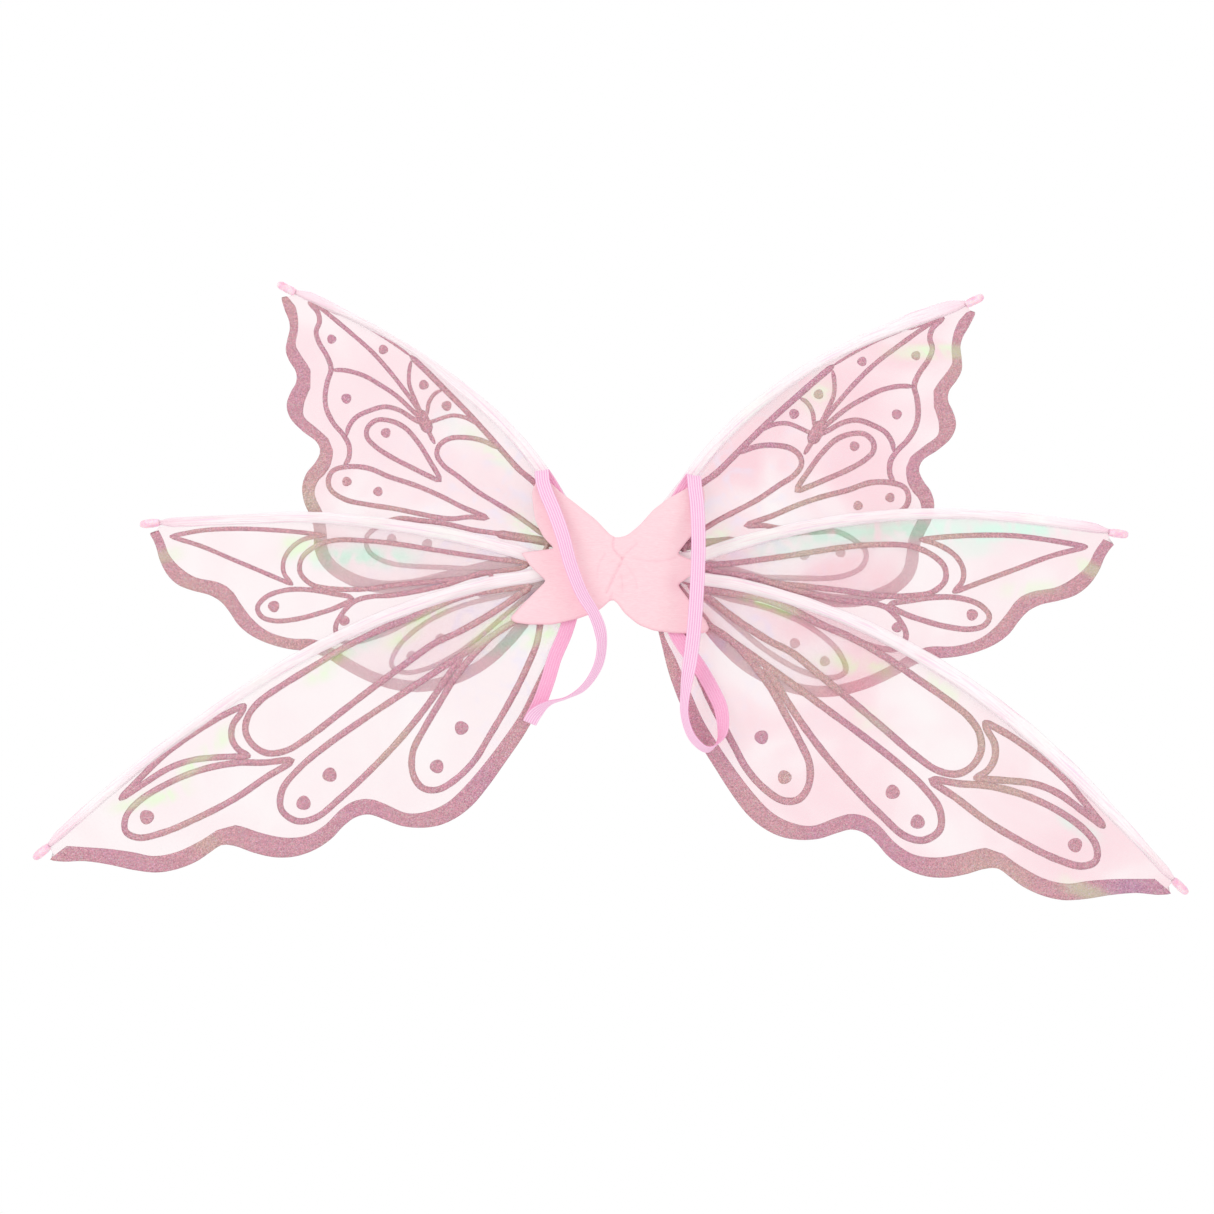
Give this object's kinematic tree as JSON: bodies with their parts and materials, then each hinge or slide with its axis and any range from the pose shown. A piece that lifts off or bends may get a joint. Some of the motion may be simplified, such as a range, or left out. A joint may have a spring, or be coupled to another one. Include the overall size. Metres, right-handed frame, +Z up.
{
  "type": "fairy wings",
  "caption": "Dress-up fairy wings: glitter-veined iridescent film wings fanned out of a padded fabric hub, each edge on a wire, worn by elastic arm loops.",
  "frame": {"origin": "middle of the hub's flat front face, which lies against the wearer's back, at the waist between the two halves", "axes": "+Z up, +X across the wings to the right when looking at the arm loops, +Y away from the wearer, through the hub to the display side"},
  "size_m": [0.8071, 0.0285, 0.422],
  "materials": {
    "cover_fabric": "matte brushed",
    "elastic_strap": "ribbed elastic",
    "wing_film": "iridescent film with printed glitter",
    "sleeve_film": "folded iridescent film",
    "spring_wire": "drawn wire",
    "tip_cap": "satin",
    "stiffener_board": "plain",
    "post_plastic": "plain"
  },
  "bodies": {
    "hub_centre": {"front_cover_centre": "cover_fabric", "back_cover_centre": "cover_fabric"},
    "left_side": {"left_front_cover": "cover_fabric", "left_back_cover": "cover_fabric", "left_stiffener_board": "stiffener_board", "left_anchor_post": "post_plastic", "left_arm_strap": "elastic_strap"},
    "right_side": {"right_front_cover": "cover_fabric", "right_back_cover": "cover_fabric", "right_stiffener_board": "stiffener_board", "right_anchor_post": "post_plastic", "right_arm_strap": "elastic_strap"},
    "left_upper_wing": {"left_upper_film": "wing_film", "left_upper_sleeve": "sleeve_film", "left_upper_wire": "spring_wire", "left_upper_tip_cap": "tip_cap"},
    "left_middle_wing": {"left_middle_film": "wing_film", "left_middle_sleeve": "sleeve_film", "left_middle_wire": "spring_wire", "left_middle_tip_cap": "tip_cap"},
    "left_lower_wing": {"left_lower_film": "wing_film", "left_lower_sleeve": "sleeve_film", "left_lower_wire": "spring_wire", "left_lower_tip_cap": "tip_cap"},
    "right_upper_wing": {"right_upper_film": "wing_film", "right_upper_sleeve": "sleeve_film", "right_upper_wire": "spring_wire", "right_upper_tip_cap": "tip_cap"},
    "right_middle_wing": {"right_middle_film": "wing_film", "right_middle_sleeve": "sleeve_film", "right_middle_wire": "spring_wire", "right_middle_tip_cap": "tip_cap"},
    "right_lower_wing": {"right_lower_film": "wing_film", "right_lower_sleeve": "sleeve_film", "right_lower_wire": "spring_wire", "right_lower_tip_cap": "tip_cap"}
  },
  "joints": [
    {"name": "left_fold", "type": "hinge", "parent": "hub_centre", "child": "left_side", "pos_m": [-0.0058, 0.00125, 0], "axis": [0, 0, -1], "range_deg": [0, 45]},
    {"name": "right_fold", "type": "hinge", "parent": "hub_centre", "child": "right_side", "pos_m": [0.0058, 0.00125, 0], "axis": [0, 0, 1], "range_deg": [0, 45]},
    {"name": "left_upper_fan", "type": "hinge", "parent": "left_side", "child": "left_upper_wing", "pos_m": [-0.018, 0.009, 0], "axis": [0, 1, 0], "range_deg": [-6, 6]},
    {"name": "left_middle_fan", "type": "hinge", "parent": "left_side", "child": "left_middle_wing", "pos_m": [-0.018, 0.007, 0], "axis": [0, 1, 0], "range_deg": [-6, 6]},
    {"name": "left_lower_fan", "type": "hinge", "parent": "left_side", "child": "left_lower_wing", "pos_m": [-0.018, 0.005, 0], "axis": [0, 1, 0], "range_deg": [-6, 6]},
    {"name": "right_upper_fan", "type": "hinge", "parent": "right_side", "child": "right_upper_wing", "pos_m": [0.018, 0.009, 0], "axis": [0, -1, 0], "range_deg": [-6, 6]},
    {"name": "right_middle_fan", "type": "hinge", "parent": "right_side", "child": "right_middle_wing", "pos_m": [0.018, 0.007, 0], "axis": [0, -1, 0], "range_deg": [-6, 6]},
    {"name": "right_lower_fan", "type": "hinge", "parent": "right_side", "child": "right_lower_wing", "pos_m": [0.018, 0.005, 0], "axis": [0, -1, 0], "range_deg": [-6, 6]}
  ]
}
